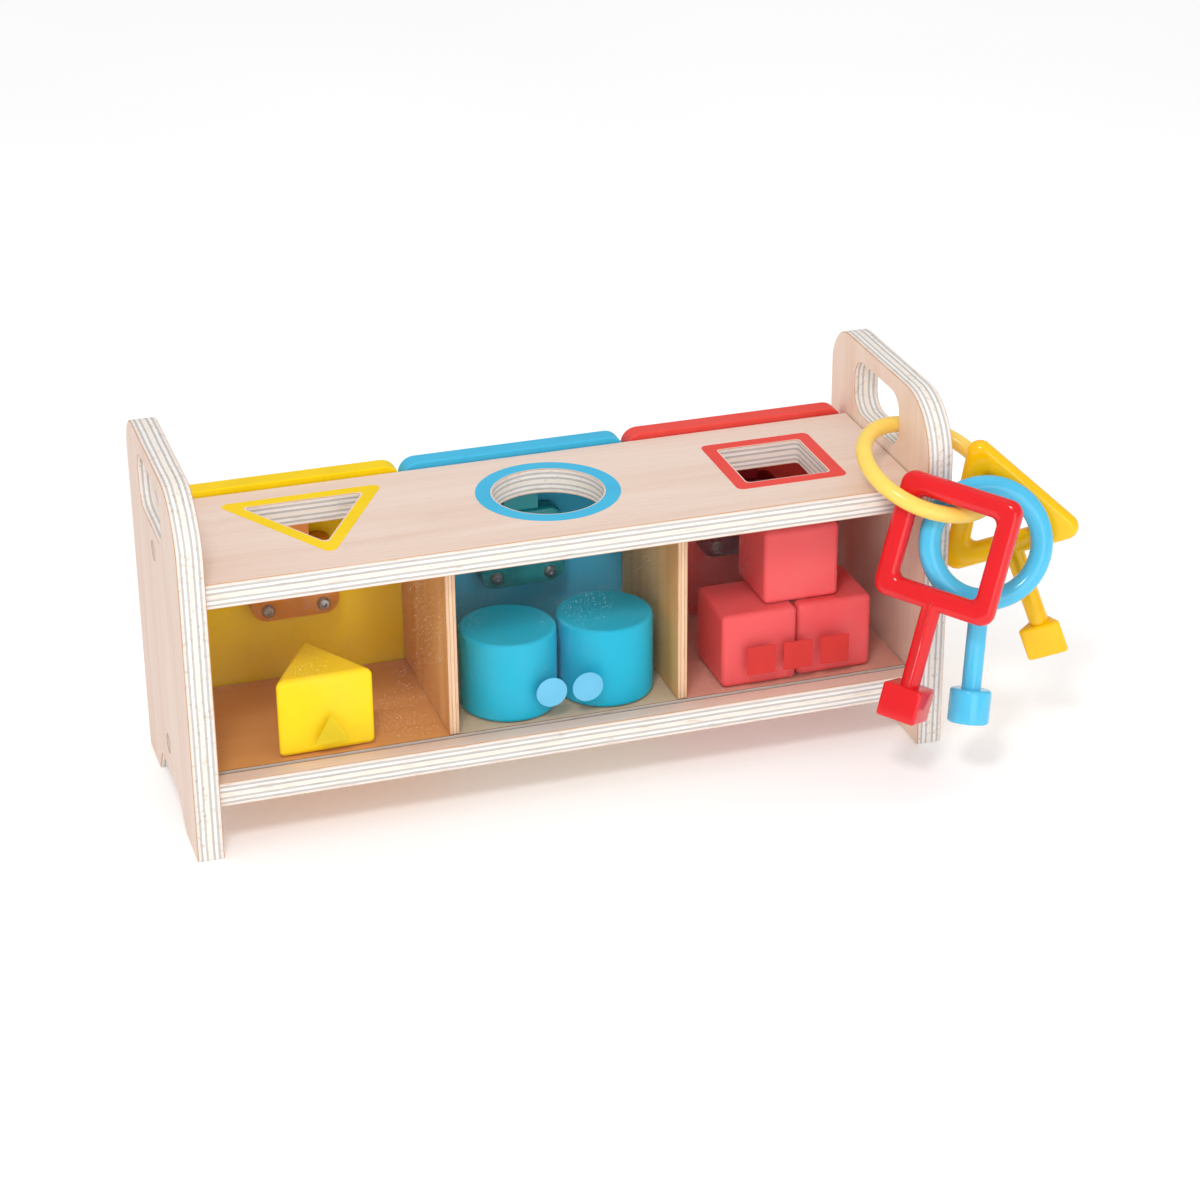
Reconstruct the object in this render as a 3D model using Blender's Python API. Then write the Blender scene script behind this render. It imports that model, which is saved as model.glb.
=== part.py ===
"""Wooden three-door shape sorter with a ring of three shaped keys.

Metres, +Z up, standing on Z = 0. While it is modelled, X runs from the left
end panel's outer face, Y from the panels' front edges and Z from the table.
place_origin() then moves everything so that the origin is the centre of the
whole footprint, keys included.
"""
import math

import bmesh
import bpy
from mathutils import Matrix, Vector

# --- driving dimensions (metres) -----------------------------------------
LENGTH = 0.300            # over both end panels
DEPTH = 0.100             # end panel, front edge to rear edge
HEIGHT = 0.145            # end panel, foot to top
PLY = 0.010               # plywood of panels and shelves
GAP = 0.0003              # air left between touching pieces

PANEL_FRONT_R = 0.024     # rounded top front corner of an end panel
PANEL_REAR_R = 0.017      # rounded top rear corner
NOTCH_Y = (0.024, 0.078)  # notch between the feet, at the table
NOTCH_TOP_Y = (0.036, 0.070)
NOTCH_HEIGHT = 0.011
SLOT_Y = (0.030, 0.0755)  # handle slot
SLOT_Z = (0.1155, 0.1380)
SLOT_R = 0.0080

SHELF_FRONT = 0.0045
SHELF_REAR = 0.0830
TOP_Z = 0.111             # upper face of the top shelf
FLOOR_Z = 0.0295          # upper face of the bottom shelf
DIVIDER = 0.004
DIVIDER_X = (0.1037, 0.1956)
DIVIDER_FRONT = 0.0138
WINDOW = 0.0016           # clear acrylic sheet
WINDOW_GROOVE = 0.0020    # depth of the groove that holds it
EDGE = 0.0004             # broken edge of the plywood

HOLE_PITCH = 0.0921       # one opening over each compartment
HOLE_MID_X = 0.1519
HOLE_Y = 0.0458
TRIANGLE_SHIFT = 0.0009   # triangular opening, off the compartment's middle
TRIANGLE_Y = 0.0543       # its centroid
TRIANGLE_HOLE = 0.0469    # side
ROUND_HOLE = 0.0216       # radius
SQUARE_HOLE = 0.0340      # side
HOLE_CORNER_R = 0.0018

DOOR = 0.008              # door board
DOOR_FRONT = SHELF_REAR + 0.0008
DOOR_TOP = TOP_Z + 0.0022
DOOR_CORNER_R = 0.0065
DOOR_END_GAPS = (0.0008, 0.0015)
DOOR_MID_GAP = 0.0006
HINGE_Z = 0.0245
HINGE_ROD_R = 0.0015
HINGE_PLAY = 0.0003

LOCK_Z = 0.0750           # keyhole and rotor centre
LOCK_HALF_W = 0.01735
LOCK_BOTTOM = 0.0585
LOCK_TOP = 0.0905
LOCK_DEPTH = 0.0090
LOCK_WALL = 0.0015
LOCK_SCREW_X = 0.0110
LOCK_SCREW_Z = 0.0632
ROTOR_R = 0.0130
CRANK_R = 0.0040          # crank pin, from the rotor's axis
CRANK_ANGLE = math.radians(45.0)
CRANK_PIN_R = 0.0013

CUBE = 0.0310
CYLINDER_R = 0.0190
CYLINDER_H = 0.0330
PRISM_SIDE = 0.0385
PRISM_H = 0.0320
BLOCK_EDGE = 0.0013

KEY_BAR = 0.0043          # half width of the bars of a key's hand frame
KEY_HALF_T = 0.0037       # half thickness of the square and triangular frames
KEY_BAR_EDGE = 0.0022     # rounding of their bars
KEY_SQUARE = 0.0205       # half side of the square frame, to the bar's middle
KEY_SQUARE_R = (0.0055, 0.0028)      # its outer and inner corners
KEY_ROUND = 0.0218        # radius of the round frame
KEY_TRIANGLE = 0.0466     # side of the triangular frame
KEY_TRIANGLE_R = (0.0050, 0.0020)
KEY_SHAFT_R = 0.0038
KEY_SHAFT = 0.0303
KEY_BIT_L = 0.0134
KEY_BIT_W = 0.0161
RING_R = 0.0265
RING_TUBE_R = 0.0032

ORIGIN = Vector((0.173868, 0.028308, 0.0))    # centre of the whole footprint

# --- finishes: colour, roughness, metallic --------------------------------
FINISHES = {
    "birch": ((0.86, 0.72, 0.60), 0.55, 0.0),
    "birch_thin": ((0.84, 0.66, 0.50), 0.55, 0.0),
    "yellow_paint": ((0.93, 0.72, 0.02), 0.45, 0.0),
    "blue_paint": ((0.10, 0.55, 0.80), 0.45, 0.0),
    "red_paint": ((0.80, 0.09, 0.09), 0.45, 0.0),
    "acrylic": ((0.95, 0.97, 0.98), 0.03, 0.0),
    "orange_clear": ((0.85, 0.35, 0.05), 0.20, 0.0),
    "teal_clear": ((0.05, 0.45, 0.50), 0.20, 0.0),
    "maroon_clear": ((0.40, 0.03, 0.04), 0.20, 0.0),
    "ring_plastic": ((0.95, 0.72, 0.22), 0.30, 0.0),
    "yellow_plastic": ((0.98, 0.78, 0.02), 0.30, 0.0),
    "blue_plastic": ((0.12, 0.60, 0.86), 0.30, 0.0),
    "red_plastic": ((0.85, 0.05, 0.07), 0.30, 0.0),
    "steel": ((0.70, 0.70, 0.72), 0.30, 1.0),
    "beech": ((0.76, 0.55, 0.36), 0.60, 0.0),
}
COLOURS = ("yellow", "blue", "red")
HOUSING_FINISH = {"yellow": "orange_clear", "blue": "teal_clear", "red": "maroon_clear"}


# --- helpers ---------------------------------------------------------------
def material(name):
    """The Principled material of one finish, made once."""
    found = bpy.data.materials.get(name)
    if found:
        return found
    colour, roughness, metallic = FINISHES[name]
    made = bpy.data.materials.new(name)
    made.use_nodes = True
    shader = made.node_tree.nodes["Principled BSDF"]
    shader.inputs["Base Color"].default_value = (*colour, 1.0)
    shader.inputs["Roughness"].default_value = roughness
    shader.inputs["Metallic"].default_value = metallic
    return made


def add_object(name, mesh_data, finish=None):
    """Put a mesh in the scene as one named object."""
    obj = bpy.data.objects.new(name, mesh_data)
    bpy.context.scene.collection.objects.link(obj)
    if finish:
        mesh_data.materials.append(material(finish))
    return obj


def mesh_from(bm, name):
    """Turn a bmesh into a mesh with outward normals and smooth round faces."""
    bmesh.ops.recalc_face_normals(bm, faces=bm.faces[:])
    data = bpy.data.meshes.new(name)
    bm.to_mesh(data)
    bm.free()
    data.shade_smooth()
    data.set_sharp_from_angle(angle=math.radians(32))
    return data


def prism(name, outline, axis, low, high, finish=None):
    """Extrude a closed outline along X, Y or Z from low to high.

    The outline's points are (Y, Z) for X, (X, Z) for Y and (X, Y) for Z.
    """
    def point(a, b, level):
        return {"X": (level, a, b), "Y": (a, level, b), "Z": (a, b, level)}[axis]

    bm = bmesh.new()
    base = [bm.verts.new(point(a, b, low)) for a, b in outline]
    face = bm.faces.new(base)
    grown = bmesh.ops.extrude_face_region(bm, geom=[face])
    moved = [item for item in grown["geom"] if isinstance(item, bmesh.types.BMVert)]
    bmesh.ops.translate(bm, verts=moved, vec=Vector(point(0, 0, high - low)))
    return add_object(name, mesh_from(bm, name), finish)


def box(name, low, high, finish=None):
    """A box between two corners."""
    outline = [(low[0], low[1]), (high[0], low[1]), (high[0], high[1]), (low[0], high[1])]
    return prism(name, outline, "Z", low[2], high[2], finish)


def turned(name, profile, axis, centre, steps, finish=None):
    """Turn a profile of (radius, height) points about an axis through centre."""
    bm = bmesh.new()
    rings = []
    for radius, height in profile:
        if radius <= 0.0:
            rings.append([bm.verts.new((0.0, 0.0, height))])
            continue
        turn = [2 * math.pi * k / steps for k in range(steps)]
        rings.append([bm.verts.new((radius * math.cos(a), radius * math.sin(a), height)) for a in turn])
    for lower, upper in zip(rings, rings[1:]):
        for k in range(steps):
            following = (k + 1) % steps
            corners = [lower[k % len(lower)], lower[following % len(lower)]]
            corners += [upper[following % len(upper)], upper[k % len(upper)]]
            bm.faces.new(list(dict.fromkeys(corners)))
    aim = {"X": Vector((1, 0, 0)), "Y": Vector((0, 1, 0)), "Z": Vector((0, 0, 1))}[axis]
    turn = aim.to_track_quat("Z", "Y").to_matrix().to_4x4()
    bmesh.ops.transform(bm, matrix=Matrix.Translation(centre) @ turn, verts=bm.verts[:])
    return add_object(name, mesh_from(bm, name), finish)


def pin(name, axis, centre, radius, low, high, steps, finish=None):
    """A plain round pin from low to high along its axis."""
    profile = [(0.0, low), (radius, low), (radius, high), (0.0, high)]
    return turned(name, profile, axis, centre, steps, finish)


def rounded(corners, radii, steps=4):
    """A closed outline whose corners are replaced by tangent arcs."""
    points = []
    count = len(corners)
    for k in range(count):
        here = Vector(corners[k])
        back = (Vector(corners[k - 1]) - here).normalized()
        ahead = (Vector(corners[(k + 1) % count]) - here).normalized()
        radius = radii[k] if isinstance(radii, (list, tuple)) else radii
        if radius <= 0.0:
            points.append(tuple(here))
            continue
        half = back.angle(ahead) / 2
        centre = here + (back + ahead).normalized() * (radius / math.sin(half))
        start = here + back * (radius / math.tan(half)) - centre
        end = here + ahead * (radius / math.tan(half)) - centre
        sweep = start.angle_signed(end)
        for i in range(steps + 1):
            points.append(tuple(centre + Matrix.Rotation(-sweep * i / steps, 2) @ start))
    return points


def polygon(centre, radius, count, turn):
    """Corners of a regular polygon."""
    angles = [turn + 2 * math.pi * k / count for k in range(count)]
    return [(centre[0] + radius * math.cos(a), centre[1] + radius * math.sin(a)) for a in angles]


def cut(obj, cutter):
    """Subtract a cutter, which stays hidden and out of the build."""
    step = obj.modifiers.new("cut_" + cutter.name, "BOOLEAN")
    step.operation = "DIFFERENCE"
    step.object = cutter
    step.solver = "EXACT"
    cutter.hide_render = True
    cutter.display_type = "WIRE"


def join(obj, other):
    """Add another solid to an object; the other one stays hidden."""
    step = obj.modifiers.new("join_" + other.name, "BOOLEAN")
    step.operation = "UNION"
    step.object = other
    step.solver = "EXACT"
    other.hide_render = True
    other.display_type = "WIRE"


def break_edges(obj, width, segments=1):
    """Bevel the sharp edges a little."""
    step = obj.modifiers.new("broken_edges", "BEVEL")
    step.width = width
    step.segments = segments
    step.limit_method = "ANGLE"
    step.angle_limit = math.radians(40)


def place(x, y, z):
    """Bench coordinates as a vector."""
    return Vector((x, y, z))


def compartment_x(index):
    """Middle of an opening: 0 triangle, 1 round, 2 square."""
    return HOLE_MID_X + (index - 1) * HOLE_PITCH


# --- end panels --------------------------------------------------------------
def panel_outline():
    """Side view of an end panel: two feet, upright edges, rounded top corners."""
    corners = [
        (0.0, 0.0), (NOTCH_Y[0], 0.0), (NOTCH_TOP_Y[0], NOTCH_HEIGHT), (NOTCH_TOP_Y[1], NOTCH_HEIGHT),
        (NOTCH_Y[1], 0.0), (DEPTH, 0.0), (DEPTH, HEIGHT), (0.0, HEIGHT),
    ]
    radii = [0.001, 0.0015, 0.006, 0.004, 0.0015, 0.001, PANEL_REAR_R, PANEL_FRONT_R]
    return rounded(corners, radii, 10)


def slot_outline():
    """Handle slot: a rounded rectangle."""
    corners = [(SLOT_Y[0], SLOT_Z[0]), (SLOT_Y[1], SLOT_Z[0]), (SLOT_Y[1], SLOT_Z[1]), (SLOT_Y[0], SLOT_Z[1])]
    return rounded(corners, SLOT_R, 8)


JOINT_Y = 0.0515           # screw line of the shelf joints
DOWEL_OFFSETS = (("front", -0.0355), ("rear", 0.0215))    # either side of each screw
SHELF_MID_Z = (TOP_Z - PLY / 2, FLOOR_Z - PLY / 2)
SCREW_HEAD_R = 0.0036
SCREW_SHANK_R = 0.0022
SCREW_LENGTH = 0.030
COUNTERBORE_R = 0.0041
COUNTERBORE = 0.0042
DOWEL_R = 0.0030
DOWEL_LENGTH = 0.0200
DOWEL_DEPTH = 0.0070       # how far a dowel goes into the panel


def end_panel(side):
    """One plywood end panel with its slot, feet and joint holes."""
    left = side == "left"
    low = 0.0 if left else LENGTH - PLY
    outer = 0.0 if left else LENGTH
    inner = PLY if left else LENGTH - PLY
    inward = 1 if left else -1
    panel = prism(side + "_end_panel", panel_outline(), "X", low, low + PLY, "birch")
    break_edges(panel, EDGE)
    slot = prism(side + "_slot_cutter", slot_outline(), "X", low - 0.002, low + PLY + 0.002)
    cut(panel, slot)
    for level, z in zip(("top", "bottom"), SHELF_MID_Z):
        tag = side + "_" + level
        ends = sorted((outer - inward * 0.001, outer + inward * COUNTERBORE))
        cut(panel, pin(tag + "_counterbore", "X", place(0, JOINT_Y, z), COUNTERBORE_R, *ends, 20))
        ends = sorted((outer, inner + inward * 0.001))
        cut(panel, pin(tag + "_screw_hole", "X", place(0, JOINT_Y, z), SCREW_SHANK_R + GAP, *ends, 12))
        for name, dy in DOWEL_OFFSETS:
            ends = sorted((inner - inward * (DOWEL_DEPTH + 0.0004), inner + inward * 0.001))
            hole = pin(tag + "_" + name + "_dowel_hole", "X", place(0, JOINT_Y + dy, z), DOWEL_R + GAP, *ends, 12)
            cut(panel, hole)
    ends = sorted((inner - inward * 0.0055, inner + inward * 0.001))
    cut(panel, pin(side + "_rod_hole", "X", hinge_centre(), HINGE_ROD_R + GAP, *ends, 16))
    return panel


def hinge_centre():
    """A point on the doors' common hinge line."""
    return place(0, DOOR_FRONT + DOOR / 2, HINGE_Z)


# --- shelves, dividers, window ---------------------------------------------
def hole_outline(index):
    """Outline of one opening of the top shelf."""
    centre = (compartment_x(index), HOLE_Y)
    if index == 0:
        radius = TRIANGLE_HOLE / math.sqrt(3)
        corners = polygon((centre[0] + TRIANGLE_SHIFT, TRIANGLE_Y), radius, 3, -math.pi / 2)
        return rounded(corners, HOLE_CORNER_R, 4)
    if index == 1:
        return polygon(centre, ROUND_HOLE, 72, 0.0)
    half = SQUARE_HOLE / 2
    corners = [
        (centre[0] - half, centre[1] - half), (centre[0] + half, centre[1] - half),
        (centre[0] + half, centre[1] + half), (centre[0] - half, centre[1] + half),
    ]
    return rounded(corners, HOLE_CORNER_R, 4)


def shelf(name, top):
    """One shelf board between the end panels, with its joint holes and window groove."""
    low = place(PLY + GAP, SHELF_FRONT, top - PLY)
    high = place(LENGTH - PLY - GAP, SHELF_REAR, top)
    board = box(name, low, high, "birch")
    break_edges(board, EDGE)
    middle = top - PLY / 2
    for side, end, inward in (("left", low.x, 1), ("right", high.x, -1)):
        tag = name + "_" + side
        ends = sorted((end - inward * 0.001, end + inward * (SCREW_LENGTH - 0.004)))
        cut(board, pin(tag + "_screw_hole", "X", place(0, JOINT_Y, middle), SCREW_SHANK_R + GAP, *ends, 12))
        for where, dy in DOWEL_OFFSETS:
            ends = sorted((end - inward * 0.001, end + inward * (DOWEL_LENGTH - DOWEL_DEPTH + 0.0006)))
            cut(board, pin(tag + where + "_hole", "X", place(0, JOINT_Y + dy, middle), DOWEL_R + GAP, *ends, 12))
    groove_y = (DIVIDER_FRONT - WINDOW - 2 * GAP, DIVIDER_FRONT)
    face = top - PLY if name == "top_shelf" else top
    groove_z = (face - WINDOW_GROOVE, face + 0.001)
    if name == "top_shelf":
        groove_z = (face - 0.001, face + WINDOW_GROOVE)
    start = place(PLY + 0.0010, groove_y[0], groove_z[0])
    stop = place(LENGTH - PLY - 0.0010, groove_y[1], groove_z[1])
    cut(board, box(name + "_groove", start, stop))
    return board


def top_shelf():
    """The top shelf with its triangular, round and square openings."""
    board = shelf("top_shelf", TOP_Z)
    for index, shape in enumerate(("triangle", "round", "square")):
        hole = prism(shape + "_opening", hole_outline(index), "Z", TOP_Z - PLY - 0.002, TOP_Z + 0.002)
        cut(board, hole)
    return board


def dividers():
    """Two thin upright boards between the shelves."""
    for name, x in zip(("left_divider", "right_divider"), DIVIDER_X):
        low = place(x - DIVIDER / 2, DIVIDER_FRONT, FLOOR_Z + GAP)
        high = place(x + DIVIDER / 2, SHELF_REAR, TOP_Z - PLY - GAP)
        break_edges(box(name, low, high, "birch_thin"), 0.0002)


def window():
    """The clear front sheet, standing in the shelves' grooves."""
    rear = DIVIDER_FRONT - GAP
    low = place(PLY + 0.0013, rear - WINDOW, FLOOR_Z - WINDOW_GROOVE + GAP)
    high = place(LENGTH - PLY - 0.0013, rear, TOP_Z - PLY + WINDOW_GROOVE - GAP)
    box("front_window", low, high, "acrylic")


def frame_fasteners():
    """Recessed connector screws and wooden dowels at the shelf ends."""
    for side, outer, inward in (("left", 0.0, 1), ("right", LENGTH, -1)):
        for level, z in zip(("top", "bottom"), SHELF_MID_Z):
            head = outer + inward * (COUNTERBORE - GAP)
            profile = [
                (0.0, 0.0012), (0.0016, 0.0012), (0.0020, 0.0), (SCREW_HEAD_R - 0.0005, 0.0),
                (SCREW_HEAD_R, 0.0006), (SCREW_HEAD_R, 0.0026), (SCREW_SHANK_R, 0.0026),
                (SCREW_SHANK_R, SCREW_LENGTH - 0.0020), (0.0008, SCREW_LENGTH), (0.0, SCREW_LENGTH),
            ]
            start = head - inward * 0.0026
            lengthwise = [(r, inward * h) for r, h in profile]
            name = side + "_" + level + "_screw"
            turned(name, lengthwise, "X", place(start, JOINT_Y, z), 16, "steel")
            inner = outer + inward * PLY
            for where, dy in DOWEL_OFFSETS:
                ends = sorted((inner - inward * DOWEL_DEPTH, inner + inward * (DOWEL_LENGTH - DOWEL_DEPTH)))
                name = side + "_" + level + "_" + where + "_dowel"
                pin(name, "X", place(0, JOINT_Y + dy, z), DOWEL_R, *ends, 12, "beech")


# --- doors -------------------------------------------------------------------
def door_span(index):
    """Left and right edges of one door."""
    edges = [PLY + DOOR_END_GAPS[0], *DIVIDER_X, LENGTH - PLY - DOOR_END_GAPS[1]]
    left = edges[index] + (DOOR_MID_GAP / 2 if index > 0 else 0.0)
    right = edges[index + 1] - (DOOR_MID_GAP / 2 if index < 2 else 0.0)
    return left, right


def lock_x(index):
    """Middle of one door and its lock."""
    return sum(door_span(index)) / 2


def key_section(index, width):
    """Outline of a key bit, about (0, 0): triangle, circle or square."""
    if index == 0:
        side = width * 1.16
        return rounded(polygon((0.0, 0.0), side / math.sqrt(3), 3, math.pi / 2), 0.0014, 3)
    if index == 1:
        return polygon((0.0, 0.0), width / 2, 24, 0.0)
    half = width / 2
    return rounded([(-half, -half), (half, -half), (half, half), (-half, half)], 0.0012, 3)


def key_recess(name, index, play, low, high):
    """A cutter of a key bit's section, standing on a lock's axis."""
    x = lock_x(index)
    outline = [(x + a, LOCK_Z + b) for a, b in key_section(index, KEY_BIT_W + play)]
    return prism(name, outline, "Y", low, high)


def door(index):
    """One painted door with its shaped keyhole and its bore for the hinge rod."""
    colour = COLOURS[index]
    left, right = door_span(index)
    bottom = HINGE_Z - DOOR / 2
    corners = [(left, bottom), (right, bottom), (right, DOOR_TOP), (left, DOOR_TOP)]
    outline = rounded(corners, [0.0, 0.0, DOOR_CORNER_R, DOOR_CORNER_R], 8)
    board = prism(colour + "_door", outline, "Y", DOOR_FRONT, DOOR_FRONT + DOOR, colour + "_paint")
    centre = hinge_centre()
    break_edges(board, EDGE)
    cut(board, door_foot_cutter(colour, left, right, centre))
    bore = pin(colour + "_hinge_bore", "X", centre, HINGE_ROD_R + HINGE_PLAY, left - 0.002, right + 0.002, 16)
    cut(board, bore)
    rear = DOOR_FRONT + DOOR + 0.002
    cut(board, key_recess(colour + "_keyhole", index, 0.0016, DOOR_FRONT - 0.002, rear))
    x = lock_x(index)
    for side in (-1, 1):
        spot = place(x + side * LOCK_SCREW_X, 0, LOCK_SCREW_Z)
        tag = colour + "_pilot_" + ("left" if side < 0 else "right")
        cut(board, pin(tag, "Y", spot, LOCK_SCREW_R + GAP, DOOR_FRONT - 0.001, DOOR_FRONT + 0.0060, 12))
    return board


def door_foot_cutter(colour, left, right, centre):
    """What is cut off the door's foot to leave it half-round about the hinge line."""
    radius = DOOR / 2
    arc = [math.pi * (1 + k / 10) for k in range(11)]
    under = [(centre.y + radius * math.cos(a), centre.z + radius * math.sin(a)) for a in arc]
    deep = centre.z - radius - 0.003
    wide = radius + 0.003
    outline = under + [
        (centre.y + wide, centre.z), (centre.y + wide, deep), (centre.y - wide, deep), (centre.y - wide, centre.z),
    ]
    return prism(colour + "_foot_cutter", outline, "X", left - 0.002, right + 0.002)


def hinge_rod():
    """The steel rod that all three doors turn on."""
    low = PLY - 0.0050
    high = LENGTH - PLY + 0.0050
    pin("door_hinge_rod", "X", hinge_centre(), HINGE_ROD_R, low, high, 16, "steel")


# --- locks -------------------------------------------------------------------
LOCK_SCREW_R = 0.0015
LOCK_FRONT = DOOR_FRONT - GAP - LOCK_DEPTH
BOLT_PLATE = 0.0016
BOLT_FRONT = LOCK_FRONT + LOCK_WALL + GAP
ROTOR_FRONT = BOLT_FRONT + BOLT_PLATE + GAP
ROTOR_REAR = DOOR_FRONT - 0.0006
BOLT_HALF_W = 0.0070
BOLT_TOP = TOP_Z - PLY - 0.0010


def lock_outline(half_width, bottom, top, x, corner):
    """Front view of a lock housing or its hollow."""
    corners = [(x - half_width, bottom), (x + half_width, bottom), (x + half_width, top), (x - half_width, top)]
    return rounded(corners, corner, 5)


def lock_housing(index):
    """Clear coloured cover, open towards the door, with a slot for the bolt."""
    colour = COLOURS[index]
    x = lock_x(index)
    rear = DOOR_FRONT - GAP
    outline = lock_outline(LOCK_HALF_W, LOCK_BOTTOM, LOCK_TOP, x, 0.0060)
    shell = prism(colour + "_lock_housing", outline, "Y", LOCK_FRONT, rear, HOUSING_FINISH[colour])
    break_edges(shell, 0.0006, 2)
    wall = LOCK_WALL
    hollow = lock_outline(LOCK_HALF_W - wall, LOCK_BOTTOM + wall, LOCK_TOP - wall, x, 0.0044)
    cut(shell, prism(colour + "_lock_hollow", hollow, "Y", LOCK_FRONT + wall, rear + 0.002))
    half = BOLT_HALF_W + GAP
    low = place(x - half, LOCK_FRONT + wall, LOCK_TOP - 0.003)
    cut(shell, box(colour + "_bolt_slot", low, place(x + half, ROTOR_FRONT, LOCK_TOP + 0.002)))
    for side in (-1, 1):
        spot = place(x + side * LOCK_SCREW_X, 0, LOCK_SCREW_Z)
        tag = colour + "_cover_hole_" + ("left" if side < 0 else "right")
        cut(shell, pin(tag, "Y", spot, LOCK_SCREW_R + GAP, LOCK_FRONT - 0.001, LOCK_FRONT + wall + 0.001, 12))
    return shell


def lock_rotor(index):
    """Turning barrel with a shaped socket behind and a crank pin in front."""
    colour = COLOURS[index]
    x = lock_x(index)
    centre = place(x, 0, LOCK_Z)
    barrel = pin(colour + "_lock_rotor", "Y", centre, ROTOR_R, ROTOR_FRONT, ROTOR_REAR, 28, "steel")
    barrel.data.materials.clear()
    barrel.data.materials.append(material(colour + "_plastic"))
    cut(barrel, key_recess(colour + "_socket", index, 0.0012, ROTOR_FRONT + 0.0016, ROTOR_REAR + 0.002))
    spot = place(x + CRANK_R * math.cos(CRANK_ANGLE), 0, LOCK_Z + CRANK_R * math.sin(CRANK_ANGLE))
    crank = pin(colour + "_crank", "Y", spot, CRANK_PIN_R, BOLT_FRONT + GAP, ROTOR_FRONT + 0.0008, 12)
    join(barrel, crank)
    return barrel


def lock_bolt(index):
    """Sliding bolt whose cross slot rides on the rotor's crank pin."""
    colour = COLOURS[index]
    x = lock_x(index)
    rest = LOCK_Z + CRANK_R * math.sin(CRANK_ANGLE)
    bottom = rest - 0.0045
    half = BOLT_HALF_W
    corners = [(x - half, bottom), (x + half, bottom), (x + half, BOLT_TOP), (x - half, BOLT_TOP)]
    outline = rounded(corners, [0.001, 0.001, 0.002, 0.002], 3)
    rear = BOLT_FRONT + BOLT_PLATE
    plate = prism(colour + "_lock_bolt", outline, "Y", BOLT_FRONT, rear, HOUSING_FINISH[colour])
    play = CRANK_PIN_R + 0.00045
    low = place(x + CRANK_R * math.cos(CRANK_ANGLE) - play, BOLT_FRONT - 0.001, rest - play)
    high = place(x + CRANK_R + play, rear + 0.001, rest + play)
    cut(plate, box(colour + "_crank_slot", low, high))
    return plate


def lock_screws(index):
    """Two small screws that hold a housing to its door."""
    colour = COLOURS[index]
    x = lock_x(index)
    seat = LOCK_FRONT - GAP
    tip = DOOR_FRONT + 0.0055
    profile = [
        (0.0, seat - 0.0006), (0.0008, seat - 0.0006), (0.0010, seat - 0.0016), (0.0020, seat - 0.0015),
        (0.0026, seat - 0.0007), (0.0026, seat), (LOCK_SCREW_R, seat), (LOCK_SCREW_R, tip - 0.0012),
        (0.0003, tip), (0.0, tip),
    ]
    for side in (-1, 1):
        spot = place(x + side * LOCK_SCREW_X, 0, LOCK_SCREW_Z)
        name = colour + "_lock_screw_" + ("left" if side < 0 else "right")
        turned(name, profile, "Y", spot, 14, "steel")


# --- blocks ------------------------------------------------------------------
def standing(name, outline, spot, height, finish):
    """A block: an upright prism with softened edges, turned and placed by its object."""
    block = prism(name, outline, "Z", 0.0, height, finish)
    break_edges(block, BLOCK_EDGE, 2)
    block.location = place(spot[0], spot[1], spot[2] + FLOOR_Z + GAP)
    block.rotation_euler = (0.0, 0.0, spot[3])
    return block


def square_outline(side):
    """A square about (0, 0)."""
    return [(-side / 2, -side / 2), (side / 2, -side / 2), (side / 2, side / 2), (-side / 2, side / 2)]


def blocks():
    """The six blocks that fit through the openings."""
    triangle = polygon((0.0, 0.0), PRISM_SIDE / math.sqrt(3), 3, math.pi / 2)
    front = 0.0162
    inradius = PRISM_SIDE / (2 * math.sqrt(3))
    spot = (0.0545, front + inradius, 0.0, math.radians(1.0))
    standing("yellow_prism", triangle, spot, PRISM_H, "yellow_paint")
    circle = polygon((0.0, 0.0), CYLINDER_R, 48, 0.0)
    for side, x in (("left", 0.1310), ("right", 0.1702)):
        spot = (x, 0.0339, 0.0, 0.0)
        standing("blue_cylinder_" + side, circle, spot, CYLINDER_H, "blue_paint")
    outline = square_outline(CUBE)
    standing("red_cube_left", outline, (0.2285, 0.0317, 0.0, 0.0), CUBE, "red_paint")
    standing("red_cube_right", outline, (0.2603, 0.0330, 0.0, 0.0), CUBE, "red_paint")
    spot = (0.2473, 0.0363, CUBE + GAP, 0.0)
    standing("red_cube_top", outline, spot, CUBE, "red_paint")


# --- ring and keys -------------------------------------------------------------
RING_CENTRE = place(0.2939, 0.0089, 0.1155)
RING_NORMAL = Vector((0.222, -0.328, 0.918))
KEY_POSES = {
    # frame centre; turn about Z, lean back, spin in its own plane (degrees)
    "red": (place(0.29004, -0.02079, 0.09554), (-45.41, -19.03, 6.48)),
    "blue": (place(0.30806, -0.01565, 0.09267), (-12.45, -18.77, 7.14)),
    "yellow": (place(0.32047, -0.00148, 0.09796), (-29.12, -2.12, -20.99)),
}


def torus(bm, centre_radius, tube_radius, steps, sides, matrix):
    """A closed round ring about matrix's local Z."""
    rings = []
    for k in range(steps):
        turn = 2 * math.pi * k / steps
        ring = []
        for i in range(sides):
            round_angle = 2 * math.pi * i / sides
            reach = centre_radius + tube_radius * math.cos(round_angle)
            spot = (reach * math.cos(turn), reach * math.sin(turn), tube_radius * math.sin(round_angle))
            ring.append(bm.verts.new(matrix @ Vector(spot)))
        rings.append(ring)
    for k in range(steps):
        here = rings[k]
        following = rings[(k + 1) % steps]
        for i in range(sides):
            j = (i + 1) % sides
            bm.faces.new((here[i], following[i], following[j], here[j]))


def key_ring():
    """The round plastic ring through the right-hand handle slot."""
    bm = bmesh.new()
    turn = RING_NORMAL.to_track_quat("Z", "Y").to_matrix().to_4x4()
    torus(bm, RING_R, RING_TUBE_R, 48, 10, Matrix.Translation(RING_CENTRE) @ turn)
    add_object("key_ring", mesh_from(bm, "key_ring"), "ring_plastic")


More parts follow.
